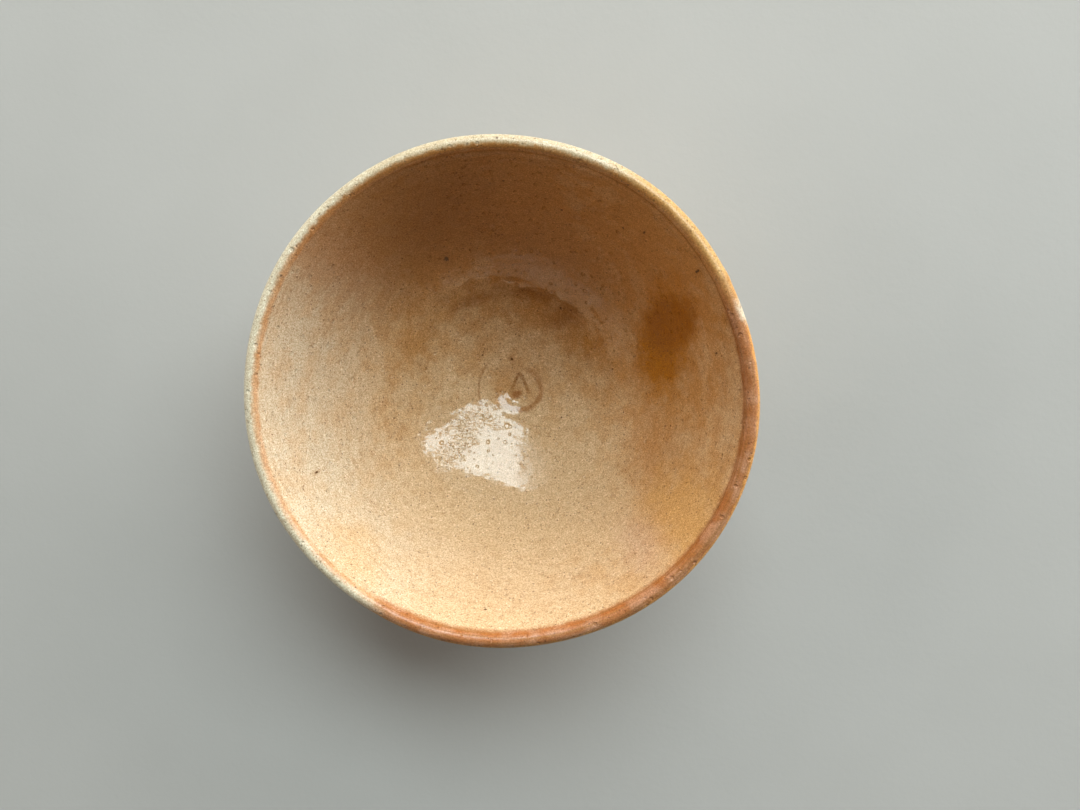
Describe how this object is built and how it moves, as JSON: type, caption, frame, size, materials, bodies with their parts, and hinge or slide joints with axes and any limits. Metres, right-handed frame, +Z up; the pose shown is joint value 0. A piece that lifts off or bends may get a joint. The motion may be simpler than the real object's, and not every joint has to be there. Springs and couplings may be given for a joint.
{
  "type": "matcha bowl",
  "caption": "Hand-thrown stoneware tea bowl with a rounded cavity, a luted ring foot, a speckled cream glaze and a toasted band over the lip.",
  "frame": {"origin": "centre of the foot's resting face", "axes": "+Z up along the axis that the bowl was thrown about; +X and +Y are the picture's right and top"},
  "size_m": [0.1434, 0.1434, 0.078],
  "materials": {
    "body_clay": "unglazed sandy stoneware, fired buff to red-brown",
    "foot_clay": "unglazed sandy stoneware, trimmed with a tool",
    "inner_glaze": "glossy cream to tan glaze with fine brown speckle and ochre patches",
    "well_glaze": "glossy pooled glaze, a little darker and thicker",
    "lip_glaze": "glossy glaze, cream to toasted orange-brown around the lip",
    "outer_glaze": "glossy grey-cream glaze with brown speckle"
  },
  "bodies": {
    "root": {"stoneware_body": "body_clay", "foot_ring": "foot_clay", "inner_glaze": "inner_glaze", "well_glaze": "well_glaze", "lip_glaze": "lip_glaze", "outer_glaze": "outer_glaze"}
  },
  "joints": []
}
